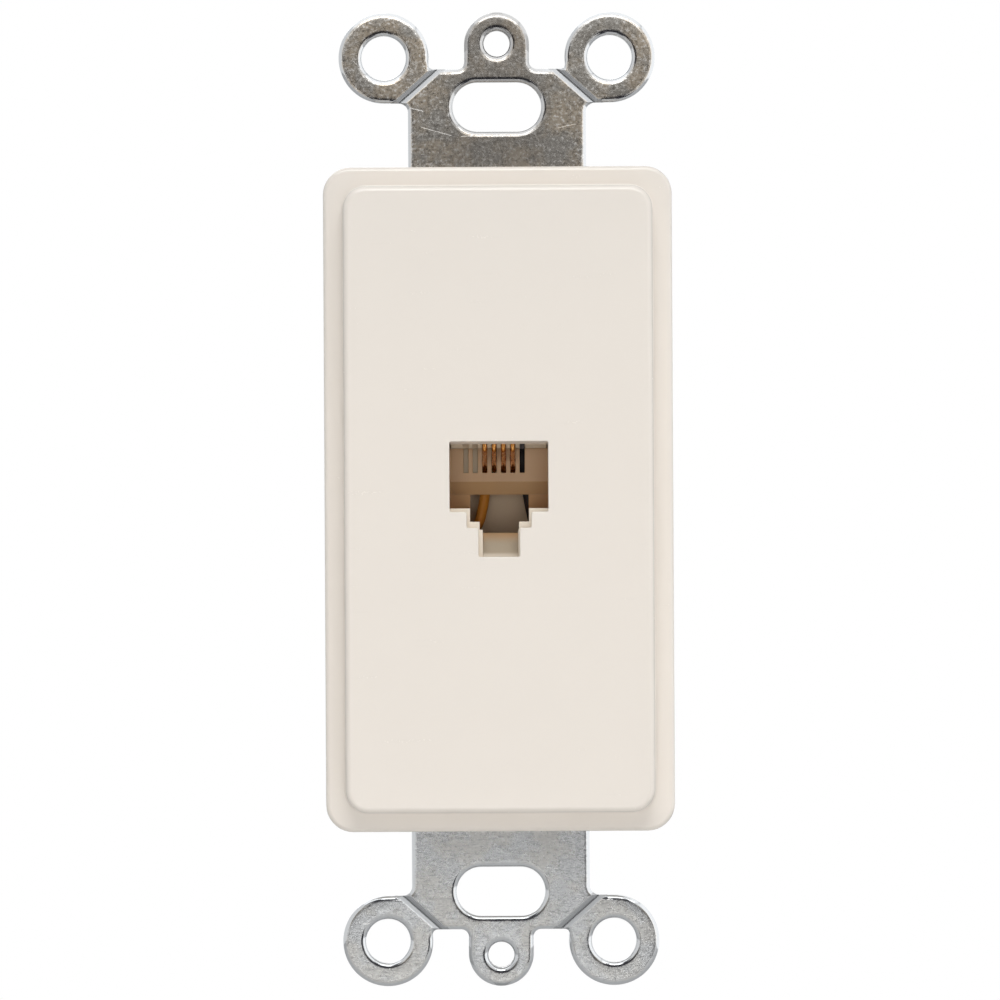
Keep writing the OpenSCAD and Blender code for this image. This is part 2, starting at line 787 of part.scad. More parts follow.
module terminal_base() {
    color("#D9CFC0")
        difference() {
            union() {
                slab(0, deck_y)
                    base_outline(0);
                slab(0, deck_y)
                    square([2 * tongue_r, 2 * assembly_z], center = true);
                for (z = [-assembly_z, assembly_z])
                    translate([0, deck_y, z])
                        rotate([90, 0, 0])
                            cylinder(h = deck_y, r = tongue_r);
                slab(0, rear_y)
                    jack_outline(jack_gap + base_wall);
                // Barrier walls round and between the terminals
                slab(deck_y - 0.1, deck_y + barrier_h)
                    difference() {
                        base_outline(0);
                        base_outline(barrier_w);
                        square([base_w + cut, 2 * (lug_end + barrier_w)], center = true);
                        square([base_w - 2 * barrier_reach, base_h + cut], center = true);
                    }
                slab(deck_y - 0.1, deck_y + barrier_h)
                    square([barrier_w, base_h], center = true);
            }
            slab(-cut, rear_y + cut)
                jack_outline(jack_gap);
            // Cored pockets under the deck
            slab(-cut, deck_y - deck_skin)
                difference() {
                    base_outline(base_wall);
                    jack_outline(jack_gap + base_wall);
                    square([2 * tongue_r, base_h], center = true);
                    for (x = [-terminal_x, terminal_x], z = [-terminal_z, terminal_z])
                        translate([x, z])
                            circle(d = terminal_screw_d + 2 * (4 * thread_gap + core_wall));
                }
            for (x = [-terminal_x, terminal_x], z = [-terminal_z, terminal_z]) {
                slab(plate_y, deck_y + cut)
                    translate([x, z])
                        square(terminal_plate_w + 2 * seat_gap, center = true);
                translate([x, deck_y + cut, z])
                    rotate([90, 0, 0])
                        cylinder(h = deck_y + cut - screw_skin, d = terminal_screw_d + 8 * thread_gap);
            }
            for (z = [-assembly_z, assembly_z])
                translate([0, deck_y + cut, z])
                    rotate([90, 0, 0])
                        cylinder(h = deck_y + 2 * cut, d = assembly_bore);
            lead_exits(0.1, jack_w / 2 + jack_gap - cut, jack_w / 2 + jack_gap + base_wall + cut);
        }
}

// Cap that closes the wiring chamber, with a stub in each lead exit
module rear_cap() {
    color("#D2C8B8")
        difference() {
            union() {
                slab(cap_y, rear_y)
                    jack_outline(jack_gap - seat_gap);
                for (side = [0, 1], z = [exit_low, exit_high])
                    mirror([side, 0, 0])
                        slab(exit_y + exit_w / 2 + 4 * seat_gap, rear_y)
                            pane(jack_w / 2 + seat_gap / 2 - cap_key, z - exit_w / 2 + seat_gap,
                                 jack_w / 2 + jack_gap + base_wall, z + exit_w / 2 - seat_gap);
            }
            for (z = [-1, 1])
                slab(rear_y - cap_recess, rear_y + cut)
                    translate([0, jack_mid + z * (jack_h / 2 - 2 * cap_recess)])
                        square([6 * cap_recess, 2 * cap_recess], center = true);
        }
}

face_cover();
mounting_strap();
jack_body();
contact_carrier();
for (i = [0 : 3])
    contact_wire(i);
splice_sleeves();
rear_cap();
terminal_base();
for (i = [0 : 3])
    lead(i, ["#C9922B", "#2F6B45", "#A8322B", "#262223"][i]);
for (i = [0 : 3])
    spade_lug(i < 2 ? -1 : 1, i == 0 || i == 3 ? -1 : 1);
for (i = [0 : 3])
    terminal_plate(i < 2 ? -1 : 1, i == 0 || i == 3 ? -1 : 1);
for (i = [0 : 3])
    terminal_screw(i < 2 ? -1 : 1, i == 0 || i == 3 ? -1 : 1);
assembly_screw(1);  // assembly_screw_top
assembly_screw(-1);  // assembly_screw_bottom
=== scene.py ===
import bmesh
import bpy
import numpy as np
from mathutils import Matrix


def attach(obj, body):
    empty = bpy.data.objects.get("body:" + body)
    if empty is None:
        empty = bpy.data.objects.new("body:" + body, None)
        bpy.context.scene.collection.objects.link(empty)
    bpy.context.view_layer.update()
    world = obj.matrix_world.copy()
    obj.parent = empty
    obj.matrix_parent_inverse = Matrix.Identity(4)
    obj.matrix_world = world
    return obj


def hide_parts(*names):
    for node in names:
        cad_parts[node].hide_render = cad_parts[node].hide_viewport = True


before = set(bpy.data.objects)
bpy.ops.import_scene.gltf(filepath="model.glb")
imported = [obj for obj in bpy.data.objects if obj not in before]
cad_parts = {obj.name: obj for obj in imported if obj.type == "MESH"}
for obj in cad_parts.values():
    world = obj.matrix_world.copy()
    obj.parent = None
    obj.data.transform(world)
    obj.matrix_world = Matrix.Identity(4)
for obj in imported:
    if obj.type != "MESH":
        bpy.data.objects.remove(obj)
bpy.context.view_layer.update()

# Mounting strap. The real one is a single stamping of zinc-plated steel, blanked and pierced in a
# press, which rolls its front edges over. It carries every other piece, and two machine screws
# through its oval slots fix it to the wall box.
MM = 0.001
STRAP_T = 1.3
ROLL_W, ROLL_DEEP = 0.62, 0.42
HOLE_W, TAB_FLARE = 0.66, 0.7
SLOT_Z, SLOT_R, SLOT_REACH = 41.67, 2.6, 2.1
TAB_Z, TAB_R, TAB_BORE_R = 48.42, 3.45, 1.375
EAR_X, EAR_Z, EAR_R, EAR_BORE_R = 12.0, 46.9, 4.8, 2.35
THREAD_PITCH, THREAD_DEPTH = 0.794, 0.38
COLLAR_H, COLLAR_FOOT_R, COLLAR_END_R = 1.2, 2.275, 2.025
ASSEMBLY_Z = 27.0
SCORE_LOW, SCORE_HIGH = (10.05, 42.4), (6.45, 45.6)
SCORE_ACROSS = (0.66437, 0.74741)
SCORE_REACH = 38.3671


def arc(x, z, r, start, stop, step=5.0):
    """Points at even angles on a circle of radius r about (x, z), in degrees."""
    count = int(np.ceil(abs(stop - start) / step)) + 1
    angle = np.radians(np.linspace(start, stop, count))
    return np.stack([x + r * np.cos(angle), z + r * np.sin(angle)], axis=1)


def four_ways(quarter):
    """A closed outline from its upper right quarter, mirrored across, then turned upside down."""
    upper = np.concatenate([quarter, (quarter * [-1, 1])[::-1]])
    loop = np.concatenate([upper, -upper])
    gap = np.linalg.norm(loop - np.roll(loop, 1, axis=0), axis=1)
    return loop[gap > 1e-5]


def edge_normals(loop):
    """Out of the sheet at each point: the directions of the two edges that meet there, added,
    brought to length one and turned a quarter turn clockwise."""
    ahead = np.roll(loop, -1, axis=0) - loop
    ahead = ahead / np.linalg.norm(ahead, axis=1, keepdims=True)
    along = ahead + np.roll(ahead, 1, axis=0)
    along = along / np.linalg.norm(along, axis=1, keepdims=True)
    return np.stack([along[:, 1], -along[:, 0]], axis=1)


def carried(loop, profile):
    """A profile carried round a loop: each of its points (out, depth) gives a row of the grid, the
    loop moved out along its normals by that much, at that depth."""
    out, depth = np.asarray(profile, float).T
    flat = loop[None] + out[:, None, None] * edge_normals(loop)[None]
    deep = np.broadcast_to(depth[:, None], flat.shape[:2])
    return np.stack([flat[..., 0], deep, flat[..., 1]], axis=2)


def edge_profile(front, back, front_r, back_r, steps=6, deep=None):
    """The edge of a sheet from its front face to its back face, with a quarter circle at each, or
    at the front a quarter ellipse, front_r wide and deep down."""
    turn = np.linspace(0, np.pi / 2, steps)
    deep = deep or front_r
    front_turn = np.stack([front_r * (np.sin(turn) - 1), front + deep * (1 - np.cos(turn))], axis=1)
    back_turn = np.stack([back_r * (np.cos(turn) - 1), back - back_r * (1 - np.sin(turn))], axis=1)
    return np.concatenate([front_turn, back_turn])


def round_loop(x, z, r, step=7.5):
    """A round hole's edge, clockwise as seen from the front, so that its normals point inwards."""
    return arc(x, z, r, 360, step, step)


def shell(tubes):
    """A closed body: each grid closes on itself round its columns, and flat faces join the first
    rows of all the grids at the front and their last rows at the back."""
    body = bmesh.new()
    fronts, backs = [], []
    for grid in tubes:
        rows, columns = grid.shape[:2]
        index = np.arange(rows * columns).reshape(rows, columns)
        beside = np.roll(index, -1, axis=1)
        quads = np.stack([index[:-1], beside[:-1], beside[1:], index[1:]], axis=2).reshape(-1, 4)
        skin = bpy.data.meshes.new("skin")
        skin.from_pydata(grid.reshape(-1, 3), [], quads.tolist())
        first = len(body.verts)
        body.from_mesh(skin)
        bpy.data.meshes.remove(skin)
        body.verts.ensure_lookup_table()
        fronts.append(set(body.verts[first:first + columns]))
        backs.append(set(body.verts[len(body.verts) - columns:]))
    for ends, facing in ((fronts, (0, -1, 0)), (backs, (0, 1, 0))):
        rim = [edge for edge in body.edges
               if edge.is_boundary and any(edge.verts[0] in end and edge.verts[1] in end for end in ends)]
        bmesh.ops.triangle_fill(body, edges=rim, use_beauty=True, normal=facing)
    bmesh.ops.recalc_face_normals(body, faces=body.faces)
    return body


def joined(bodies):
    """Several closed bodies in one mesh, still in millimetres."""
    mesh = bpy.data.meshes.new("joined")
    whole = bmesh.new()
    for body in bodies:
        body.to_mesh(mesh)
        whole.from_mesh(mesh)
        body.free()
    whole.to_mesh(mesh)
    whole.free()
    return mesh


def made(name, mesh, material, slot, *nodes, sharp=38):
    """A piece from a mesh in millimetres: brought to metres, smoothed between its sharp edges, and
    put in place of its CAD nodes, which are hidden."""
    points = np.empty(len(mesh.vertices) * 3)
    mesh.vertices.foreach_get("co", points)
    mesh.vertices.foreach_set("co", points * MM)
    mesh.shade_smooth()
    mesh.set_sharp_from_angle(angle=np.radians(sharp))
    mesh.name = name
    piece = bpy.data.objects.new(name, mesh)
    bpy.context.scene.collection.objects.link(piece)
    piece.data.materials.append(material)
    weights = piece.modifiers.new("flat faces stay flat", "WEIGHTED_NORMAL")
    weights.keep_sharp = True
    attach(piece, "root")
    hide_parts(*nodes)
    return piece


def written(red, green, blue):
    """A colour as it is read on a screen, from 0 to 255, turned into light."""
    tone = np.array([red, green, blue]) / 255
    light = np.where(tone <= 0.04045, tone / 12.92, ((tone + 0.055) / 1.055) ** 2.4)
    return (*light.tolist(), 1.0)


class Finish:
    """A material put together from noise, bands and bumps on Object coordinates."""

    def __init__(self, name, **fixed):
        self.material = bpy.data.materials.new(name)
        self.material.use_nodes = True
        self.tree = self.material.node_tree
        self.shader = self.tree.nodes["Principled BSDF"]
        for socket, value in fixed.items():
            self.shader.inputs[socket.replace("_", " ")].default_value = value
        self.place = self.add("ShaderNodeTexCoord").outputs["Object"]
        self.axes = self.add("ShaderNodeSeparateXYZ")
        self.link(self.place, self.axes.inputs[0])
        self.normal = None

    def add(self, kind, **settings):
        node = self.tree.nodes.new(kind)
        for key, value in settings.items():
            setattr(node, key, value)
        return node

    def link(self, source, target):
        self.tree.links.new(source, target)

    def stretched(self, scale, turn=(0, 0, 0)):
        """Object coordinates turned, then drawn out along an axis."""
        mapping = self.add("ShaderNodeMapping")
        mapping.inputs["Rotation"].default_value = np.radians(turn)
        mapping.inputs["Scale"].default_value = scale
        self.link(self.place, mapping.inputs["Vector"])
        return mapping.outputs[0]

    def noise(self, size, detail=3.0, rough=0.55, place=None):
        """Noise whose lumps are size millimetres across."""
        node = self.add("ShaderNodeTexNoise")
        node.inputs["Scale"].default_value = 1 / (size * MM)
        node.inputs["Detail"].default_value = detail
        node.inputs["Roughness"].default_value = rough
        self.link(place or self.place, node.inputs["Vector"])
        return node.outputs["Fac"]

    def graded(self, amount, low, high, out_low=0.0, out_high=1.0, curve="SMOOTHSTEP"):
        """Takes amount from the range low to high into another range."""
        node = self.add("ShaderNodeMapRange", interpolation_type=curve)
        for key, value in zip(("From Min", "From Max", "To Min", "To Max"), (low, high, out_low, out_high)):
            node.inputs[key].default_value = value
        self.link(amount, node.inputs["Value"])
        return node.outputs["Result"]

    def sum(self, first, second, how="MULTIPLY"):
        """Arithmetic on two amounts, of which the second may be a number."""
        node = self.add("ShaderNodeMath", operation=how)
        self.link(first, node.inputs[0])
        if isinstance(second, (int, float)):
            node.inputs[1].default_value = second
        else:
            self.link(second, node.inputs[1])
        return node.outputs[0]

    def blend(self, amount, first, second):
        """A colour between two colours, each written or worked out."""
        node = self.add("ShaderNodeMix", data_type="RGBA")
        self.link(amount, node.inputs["Factor"])
        for colour, key in ((first, 6), (second, 7)):
            if isinstance(colour, tuple):
                node.inputs[key].default_value = colour
            else:
                self.link(colour, node.inputs[key])
        return node.outputs[2]

    def bumped(self, height, depth):
        """Relief of depth millimetres on top of the relief so far."""
        node = self.add("ShaderNodeBump")
        node.inputs["Distance"].default_value = depth * MM
        self.link(height, node.inputs["Height"])
        if self.normal:
            self.link(self.normal, node.inputs["Normal"])
        self.normal = node.outputs[0]

    def done(self, colour, roughness):
        self.link(colour, self.shader.inputs["Base Color"])
        self.link(roughness, self.shader.inputs["Roughness"])
        if self.normal:
            self.link(self.normal, self.shader.inputs["Normal"])
        return self.material


SCRATCHES = [
    # Middle across and up, turn in degrees, length and width, all in millimetres, and strength
    (-8.55, 41.45, -13, 1.7, 0.09, 1.0),
    (-6.4, 39.1, -16, 4.2, 0.05, 0.35),
    (-9.1, 38.9, 37, 0.6, 0.07, 0.5),
    (-3.1, 38.6, 2, 1.6, 0.08, 0.45),
    (-14.9, 46.3, -41, 1.4, 0.05, 0.5),
    (7.3, 39.6, 12, 2.6, 0.05, 0.35),
    (-14.3, -45.0, 3, 1.0, 0.07, 0.6),
    (5.2, -39.2, -8, 2.2, 0.05, 0.3),
]


def scratch_marks(metal):
    """A few thin strokes: for each one Object coordinates are moved to its middle and turned, and
    the stroke is where across is less than its width and along is less than half of its length."""
    marks = None
    for x, z, turn, length, width, strength in SCRATCHES:
        moved = metal.add("ShaderNodeMapping", vector_type="TEXTURE")
        moved.inputs["Location"].default_value = (x * MM, 0, z * MM)
        moved.inputs["Rotation"].default_value = (0, -np.radians(turn), 0)
        metal.link(metal.place, moved.inputs["Vector"])
        parts = metal.add("ShaderNodeSeparateXYZ")
        metal.link(moved.outputs[0], parts.inputs[0])
        along = metal.sum(parts.outputs["X"], 0.0, "ABSOLUTE")
        across = metal.sum(parts.outputs["Z"], 0.0, "ABSOLUTE")
        stroke = metal.sum(metal.graded(across, 0.3 * width * MM, 0.7 * width * MM, strength, 0),
                           metal.graded(along, 0.3 * length * MM, 0.5 * length * MM, 1, 0))
        marks = metal.sum(marks, stroke, "MAXIMUM") if marks else stroke
    return marks


def zinc_plate():
    """Zinc plate: a coarse bright and dark spangle, clouds of tone, faint brushing, a few scratches,
    smoother metal where the press rolled the edges, and rough score lines, found by their distance
    from the line across. The upper half is painted a darker brown and the lower half a lighter,
    faintly blue grey, and the middle at the top darker still: painted reflections. The strap bows
    back slightly towards its ends: relief that falls with the square of the height."""
    zinc = Finish("zinc_plate", Metallic=1.0)
    height = zinc.axes.outputs["Z"]
    depth = zinc.axes.outputs["Y"]
    spangle = zinc.noise(0.42, 4, 0.7)
    specks = zinc.noise(0.2, 2, 0.5)
    cloud = zinc.noise(4.0, 3, 0.6)
    brushing = zinc.noise(0.14, 3, 0.6, zinc.stretched((0.18, 1, 1), (0, 3, 0)))
    upper = zinc.graded(height, -0.02, 0.02)
    lower = zinc.graded(height, 0.02, -0.02)
    back = zinc.graded(depth, -0.14 * MM, -0.02 * MM)
    flat = zinc.sum(zinc.graded(depth, -(STRAP_T - 0.0005) * MM, -(STRAP_T - 0.02) * MM, 1, 0), back, "MAXIMUM")
    rolled = zinc.sum(zinc.graded(depth, -(STRAP_T - 0.01) * MM, -(STRAP_T - 0.1) * MM), back, "SUBTRACT")
    # The upper half is painted a darker brown and the lower half a lighter grey, each clouded: painted reflections
    # of dim surroundings above and light ones below.
    painted_light_reflection_clouds = zinc.blend(zinc.graded(cloud, 0.4, 0.6), (0.605, 0.615, 0.62, 1), (0.635, 0.625, 0.6, 1))
    painted_dim_reflection_clouds = zinc.blend(zinc.graded(cloud, 0.4, 0.6), (0.5, 0.485, 0.46, 1), (0.56, 0.49, 0.4, 1))
    tone = zinc.blend(upper, painted_light_reflection_clouds, painted_dim_reflection_clouds)
    light = zinc.sum(zinc.graded(spangle, 0.47, 0.6), zinc.graded(specks, 0.44, 0.6))
    tone = zinc.blend(zinc.sum(light, zinc.graded(upper, 0, 1, 0.3, 0.8)), tone, (0.95, 0.94, 0.92, 1))
    dark = zinc.sum(zinc.graded(spangle, 0.5, 0.36), zinc.graded(specks, 0.6, 0.42))
    tone = zinc.blend(zinc.sum(dark, zinc.graded(upper, 0, 1, 0.28, 0.7)), tone, (0.2, 0.19, 0.18, 1))
    streak = zinc.sum(zinc.graded(brushing, 0.52, 0.68), zinc.graded(lower, 0, 1, 0.15, 0.66))
    tone = zinc.blend(streak, tone, (0.36, 0.36, 0.36, 1))
    tone = zinc.blend(rolled, tone, (0.57, 0.585, 0.6, 1))
    sideways = zinc.sum(zinc.axes.outputs["X"], 0.0, "ABSOLUTE")
    upright_way = zinc.sum(height, 0.0, "ABSOLUTE")
    reach = zinc.sum(zinc.sum(sideways, SCORE_ACROSS[0]), zinc.sum(upright_way, SCORE_ACROSS[1]), "ADD")
    off_line = zinc.sum(zinc.sum(reach, -SCORE_REACH * MM, "ADD"), 0.0, "ABSOLUTE")
    scored = zinc.sum(zinc.graded(off_line, 0.66 * MM, 0.56 * MM), rolled)
    tone = zinc.blend(scored, tone, (0.4, 0.41, 0.42, 1))
    # The middle at the top is painted darker: a painted dark reflection.
    middle = zinc.sum(zinc.graded(sideways, 7 * MM, 3 * MM), upper)
    tone = zinc.blend(zinc.sum(middle, 0.4), tone, (0.3, 0.28, 0.26, 1))
    marks = scratch_marks(zinc)
    tone = zinc.blend(marks, tone, (1.0, 0.98, 0.95, 1))
    zinc.bumped(zinc.sum(zinc.sum(height, 2, "POWER"), -0.55 / MM), 1.0)
    zinc.bumped(zinc.sum(spangle, zinc.graded(flat, 0, 1, 0.15, 1)), 0.014)
    zinc.bumped(zinc.sum(brushing, flat), 0.003)
    zinc.bumped(marks, -0.03)
    grainy = zinc.graded(zinc.sum(spangle, cloud, "ADD"), 0.7, 1.3, 0.22, 0.32, "LINEAR")
    smoother = zinc.sum(grainy, zinc.graded(flat, 0, 1, 0.42, 1))
    return zinc.done(tone, zinc.sum(smoother, zinc.sum(scored, 0.35), "ADD"))


def strap_outline():
    """The upper right quarter as arcs and straight lines: body corner, neck, ear, shoulder, tab."""
    return four_ways(np.concatenate([
        arc(15, 31.5, 1.5, 0, 90, 9),
        arc(10.45, 34, 1, 270, 180, 9),
        arc(10.45, 41.1, 1, 180, 90, 9),
        arc(EAR_X, EAR_Z, EAR_R, -90, 187.59, 4),
        arc(6.7464, 46.2, 0.5, 7.59, -90, 12),
        arc(TAB_R + 0.8, 46.5, 0.8, 270, 180, 9),
        arc(0, TAB_Z - 0.15, TAB_R, 0, 90, 4)]))


def slot_loop(z):
    """An oval slot's edge: two half circles, clockwise as seen from the front."""
    return np.concatenate([arc(SLOT_REACH, z, SLOT_R, 90, -90, 6), arc(-SLOT_REACH, z, SLOT_R, -90, -270, 6)])


def tapped_hole(end):
    """A drawn and tapped hole on a grid of angle and depth: the radius is the bore plus a
    triangular wave of depth over pitch less angle over a full turn, then the collar's outside."""
    rim = edge_profile(-STRAP_T, COLLAR_H, TAB_FLARE, 0.1, 9, ROLL_DEEP)[:9]
    depth = np.concatenate([rim[:, 1], np.linspace(-STRAP_T + ROLL_DEEP, COLLAR_H - 0.05, 34)[1:]])
    out = np.concatenate([-rim[:, 0], np.zeros(33)])
    angle = np.radians(np.arange(360, 0, -6.0))
    phase = (depth[:, None] / THREAD_PITCH - angle[None] / (2 * np.pi)) % 1
    wave = np.clip(1.3 * np.abs(2 * phase - 1) - 0.15, 0, 1)
    fade = np.clip((depth + STRAP_T - ROLL_DEEP) / 0.5, 0, 1) * np.clip((COLLAR_H - depth) / 0.3, 0, 1)
    bore = TAB_BORE_R + out[:, None] + THREAD_DEPTH * wave * fade[:, None]
    outside = np.array([[TAB_BORE_R + 0.12, COLLAR_H], [COLLAR_END_R - 0.1, COLLAR_H],
                        [COLLAR_END_R, COLLAR_H - 0.1], [COLLAR_FOOT_R, 0.25],
                        [COLLAR_FOOT_R + 0.07, 0.08], [COLLAR_FOOT_R + 0.25, 0]])
    radius = np.concatenate([bore, np.repeat(outside[:, :1], len(angle), axis=1)])
    deep = np.concatenate([depth, outside[:, 1]])
    return np.stack([radius * np.cos(angle), np.repeat(deep[:, None], len(angle), axis=1),
                     end * TAB_Z + radius * np.sin(angle)], axis=2)


def score_cutters():
    """Prisms with sloping sides along each line where an ear snaps off."""
    low, high = np.array(SCORE_LOW), np.array(SCORE_HIGH)
    along = (high - low) / np.linalg.norm(high - low)
    across = np.array([along[1], -along[0]])
    section = np.array([[-1.6, -0.5], [-0.58, 0.0], [-0.08, 0.25], [-0.03, 0.42],
                        [0.03, 0.42], [0.08, 0.25], [0.58, 0.0], [1.6, -0.5]])
    cutters = []
    for x, z in ((1, 1), (-1, 1), (-1, -1), (1, -1)):
        ends = np.stack([low - 1.2 * along, high + 1.2 * along])
        flat = ends[:, None] + section[None, :, :1] * across
        grid = np.stack([flat[..., 0] * x, np.broadcast_to(section[:, 1] - STRAP_T, flat.shape[:2]),
                         flat[..., 1] * z], axis=2)
        faces = [list(range(8)), list(range(8, 16))]
        faces += [[k, (k + 1) % 8, 8 + (k + 1) % 8, 8 + k] for k in range(8)]
        mesh = bpy.data.meshes.new("cutter")
        mesh.from_pydata(grid.reshape(-1, 3), [], faces)
        body = bmesh.new()
        body.from_mesh(mesh)
        bmesh.ops.recalc_face_normals(body, faces=body.faces)
        cutters.append(body)
    return joined(cutters)


def cut_away(mesh, cutter):
    """The mesh less the cutter's volume."""
    solid, tool = bpy.data.objects.new("solid", mesh), bpy.data.objects.new("tool", cutter)
    for thing in (solid, tool):
        bpy.context.scene.collection.objects.link(thing)
    boolean = solid.modifiers.new("cut", "BOOLEAN")
    boolean.operation, boolean.object, boolean.solver = "DIFFERENCE", tool, "EXACT"
    result = bpy.data.meshes.new_from_object(solid.evaluated_get(bpy.context.evaluated_depsgraph_get()))
    for thing in (solid, tool):
        bpy.data.objects.remove(thing)
    return result


edge = edge_profile(-STRAP_T, 0, ROLL_W, 0.12, 10, ROLL_DEEP)
pierced = edge_profile(-STRAP_T, 0, HOLE_W, 0.05, 10, ROLL_DEEP)
plain = edge_profile(-STRAP_T, 0, 0.12, 0.05)
window = np.array([[7.12, 10.05], [7.12, -8.01], [-7.12, -8.01], [-7.12, 10.05]])
strap_tubes = [carried(strap_outline(), edge), carried(window, plain), tapped_hole(1), tapped_hole(-1)]
strap_tubes += [carried(slot_loop(z), pierced) for z in (SLOT_Z, -SLOT_Z)]
strap_tubes += [carried(round_loop(x, z, EAR_BORE_R), pierced)
                for x in (EAR_X, -EAR_X) for z in (EAR_Z, -EAR_Z)]
strap_tubes += [carried(round_loop(0, z, 1.7), plain) for z in (ASSEMBLY_Z, -ASSEMBLY_Z)]
strap_mesh = cut_away(joined([shell(strap_tubes)]), score_cutters())
made("strap_stamping", strap_mesh, zinc_plate(), "strap_steel", "mounting_strap", sharp=20)

# Cover. The real one is a single moulding of glossy almond plastic: a flange that hides the edge
# of the hole in the wall plate, and a raised face with the stepped plug opening. Two screws from
# behind draw it down on the strap.
FLANGE_Y, FACE_Y, SKIN_Y = -3.7, -7.3, -5.5
OPENING = [(-5.22, 6.1), (5.22, 6.1), (5.22, -1.35), (3.43, -1.35), (3.43, -3.04), (2.19, -3.04),
           (2.19, -6.11), (-2.19, -6.11), (-2.19, -3.04), (-3.43, -3.04), (-3.43, -1.35), (-5.22, -1.35)]


def rounded_rows(rows, per_corner=10):
    """A moulding as a stack of rounded rectangles, each (width, height, corner radius, depth): each
    corner's centre plus its radius times the cosine and sine of an angle."""
    w, h, r, y = np.asarray(rows, float).T[:, :, None]
    turn = np.linspace(0, 90, per_corner)
    angle = np.radians(np.concatenate([turn + 90 * k for k in range(4)]))
    right = np.repeat([1, -1, -1, 1], per_corner)
    top = np.repeat([1, 1, -1, -1], per_corner)
    x = right * (w / 2 - r) + r * np.cos(angle)
    z = top * (h / 2 - r) + r * np.sin(angle)
    return np.stack([x, np.broadcast_to(y, x.shape), z], axis=2)


def softened(points, reach, steps=4):
    """A polygon with each corner replaced by a quadratic curve that starts and ends reach from it."""
    corner = np.asarray(points, float)
    behind, ahead = np.roll(corner, 1, axis=0) - corner, np.roll(corner, -1, axis=0) - corner
    start = corner + reach * behind / np.linalg.norm(behind, axis=1, keepdims=True)
    end = corner + reach * ahead / np.linalg.norm(ahead, axis=1, keepdims=True)
    t = np.linspace(0, 1, steps + 1)[:, None, None]
    return ((1 - t) ** 2 * start + 2 * t * (1 - t) * corner + t ** 2 * end).transpose(1, 0, 2).reshape(-1, 2)


def box_shell(x0, z0, x1, z1, y0, y1, reach=0.1):
    """A bar between two corners, as seen from the front, with its upright edges softened."""
    loop = softened([(x1, z1), (x0, z1), (x0, z0), (x1, z0)], reach)
    return shell([carried(loop, edge_profile(y0, y1, 0.02, 0.02, 3))])


def moulded_plastic(name, tone, tones=(), gloss=(0.3, 0.42), grain=0.0025, index=1.5):
    """Moulded plastic: slow drift of the tone, a fine grain from the tool's surface, slight waves
    of shrinkage and a few dull handling marks. Each of tones blends in another tone along an axis,
    from one place to another."""
    plastic = Finish(name, IOR=index)
    drift = plastic.noise(14, 2)
    fine = plastic.noise(0.22, 3, 0.6)
    base = tone
    for axis, low, high, further in tones:
        base = plastic.blend(plastic.graded(plastic.axes.outputs[axis], low * MM, high * MM), base, further)
    darker = tuple(0.94 * value for value in tone[:3]) + (1.0,)
    colour = plastic.blend(plastic.graded(drift, 0.35, 0.7, 0, 0.15 if tones else 0.5), base, darker)
    marks = plastic.noise(0.9, 2, 0.5, plastic.stretched((0.12, 1, 1), (0, 23, 0)))
    worn = plastic.graded(marks, 0.66, 0.72)
    colour = plastic.blend(plastic.sum(worn, 0.06), colour, tuple(0.8 * v for v in tone[:3]) + (1.0,))
    plastic.bumped(fine, grain)
    plastic.bumped(plastic.noise(6, 1), 0.02)
    roughness = plastic.sum(plastic.graded(fine, 0.3, 0.7, *gloss, "LINEAR"), plastic.sum(worn, 0.015), "ADD")
    return plastic.done(colour, roughness)


def ring_shell(x, z, inner, outer, y0, y1):
    """A round tube about (x, z)."""
    around = edge_profile(y0, y1, 0.02, 0.02, 3)
    return shell([carried(round_loop(x, z, outer)[::-1], around), carried(round_loop(x, z, inner), around)])


turn = np.linspace(0, 90, 7)
sine, cosine = np.sin(np.radians(turn)), np.cos(np.radians(turn))
face_edge = [(32.7 - 1.2 * (1 - s), 66.3 - 1.2 * (1 - s), 2.4 - 0.6 * (1 - s), FACE_Y + 0.6 * (1 - c))
             for s, c in zip(sine, cosine)]
foot = [(32.75 + 0.5 * (1 - c), 66.35 + 0.5 * (1 - c), 2.4 + 0.25 * (1 - c), FLANGE_Y - 0.25 * (1 - s))
        for s, c in zip(sine, cosine)]
flange_edge = [(37 - 1.0 * (1 - s), 70.5 - 1.0 * (1 - s), 2.9 - 0.5 * (1 - s), FLANGE_Y + 0.5 * (1 - c))
               for s, c in zip(sine, cosine)]
back_rim = [(37, 70.5, 2.9, -STRAP_T - 0.15), (36.9, 70.4, 2.85, -STRAP_T - 0.04), (36.7, 70.2, 2.75, -STRAP_T),
            (30.2, 63.3, 0.9, -STRAP_T), (30, 63.1, 0.8, -STRAP_T - 0.1),
            (30, 63.1, 0.8, SKIN_Y + 0.3), (29.8, 62.9, 0.7, SKIN_Y + 0.08), (29.4, 62.5, 0.5, SKIN_Y)]
opening_rows = carried(softened(OPENING, 0.22), edge_profile(FACE_Y, SKIN_Y, 0.1, 0.05, 9))
sunk = np.clip((opening_rows[..., 1] - FACE_Y - 0.1) / 1.6, 0, 1)
opening_rows[..., 2] -= 0.26 * sunk * (opening_rows[..., 2] > 5.7)
cover_body = shell([rounded_rows(face_edge + foot + flange_edge + back_rim), opening_rows])
cover_parts = [cover_body]
for end in (1, -1):
    cover_parts.append(ring_shell(0, end * ASSEMBLY_Z, 1.35, 2.8, SKIN_Y - 0.2, -STRAP_T))
rib_outer = [(8.22, 11.15), (-8.22, 11.15), (-8.22, -9.11), (8.22, -9.11)]
rib_inner = [(7.12, 10.05), (7.12, -8.01), (-7.12, -8.01), (-7.12, 10.05)]
rib_edge = edge_profile(SKIN_Y - 0.2, -2.8, 0.02, 0.02, 3)
cover_parts.append(shell([carried(softened(rib_outer, 0.3), rib_edge), carried(softened(rib_inner, 0.3), rib_edge)]))
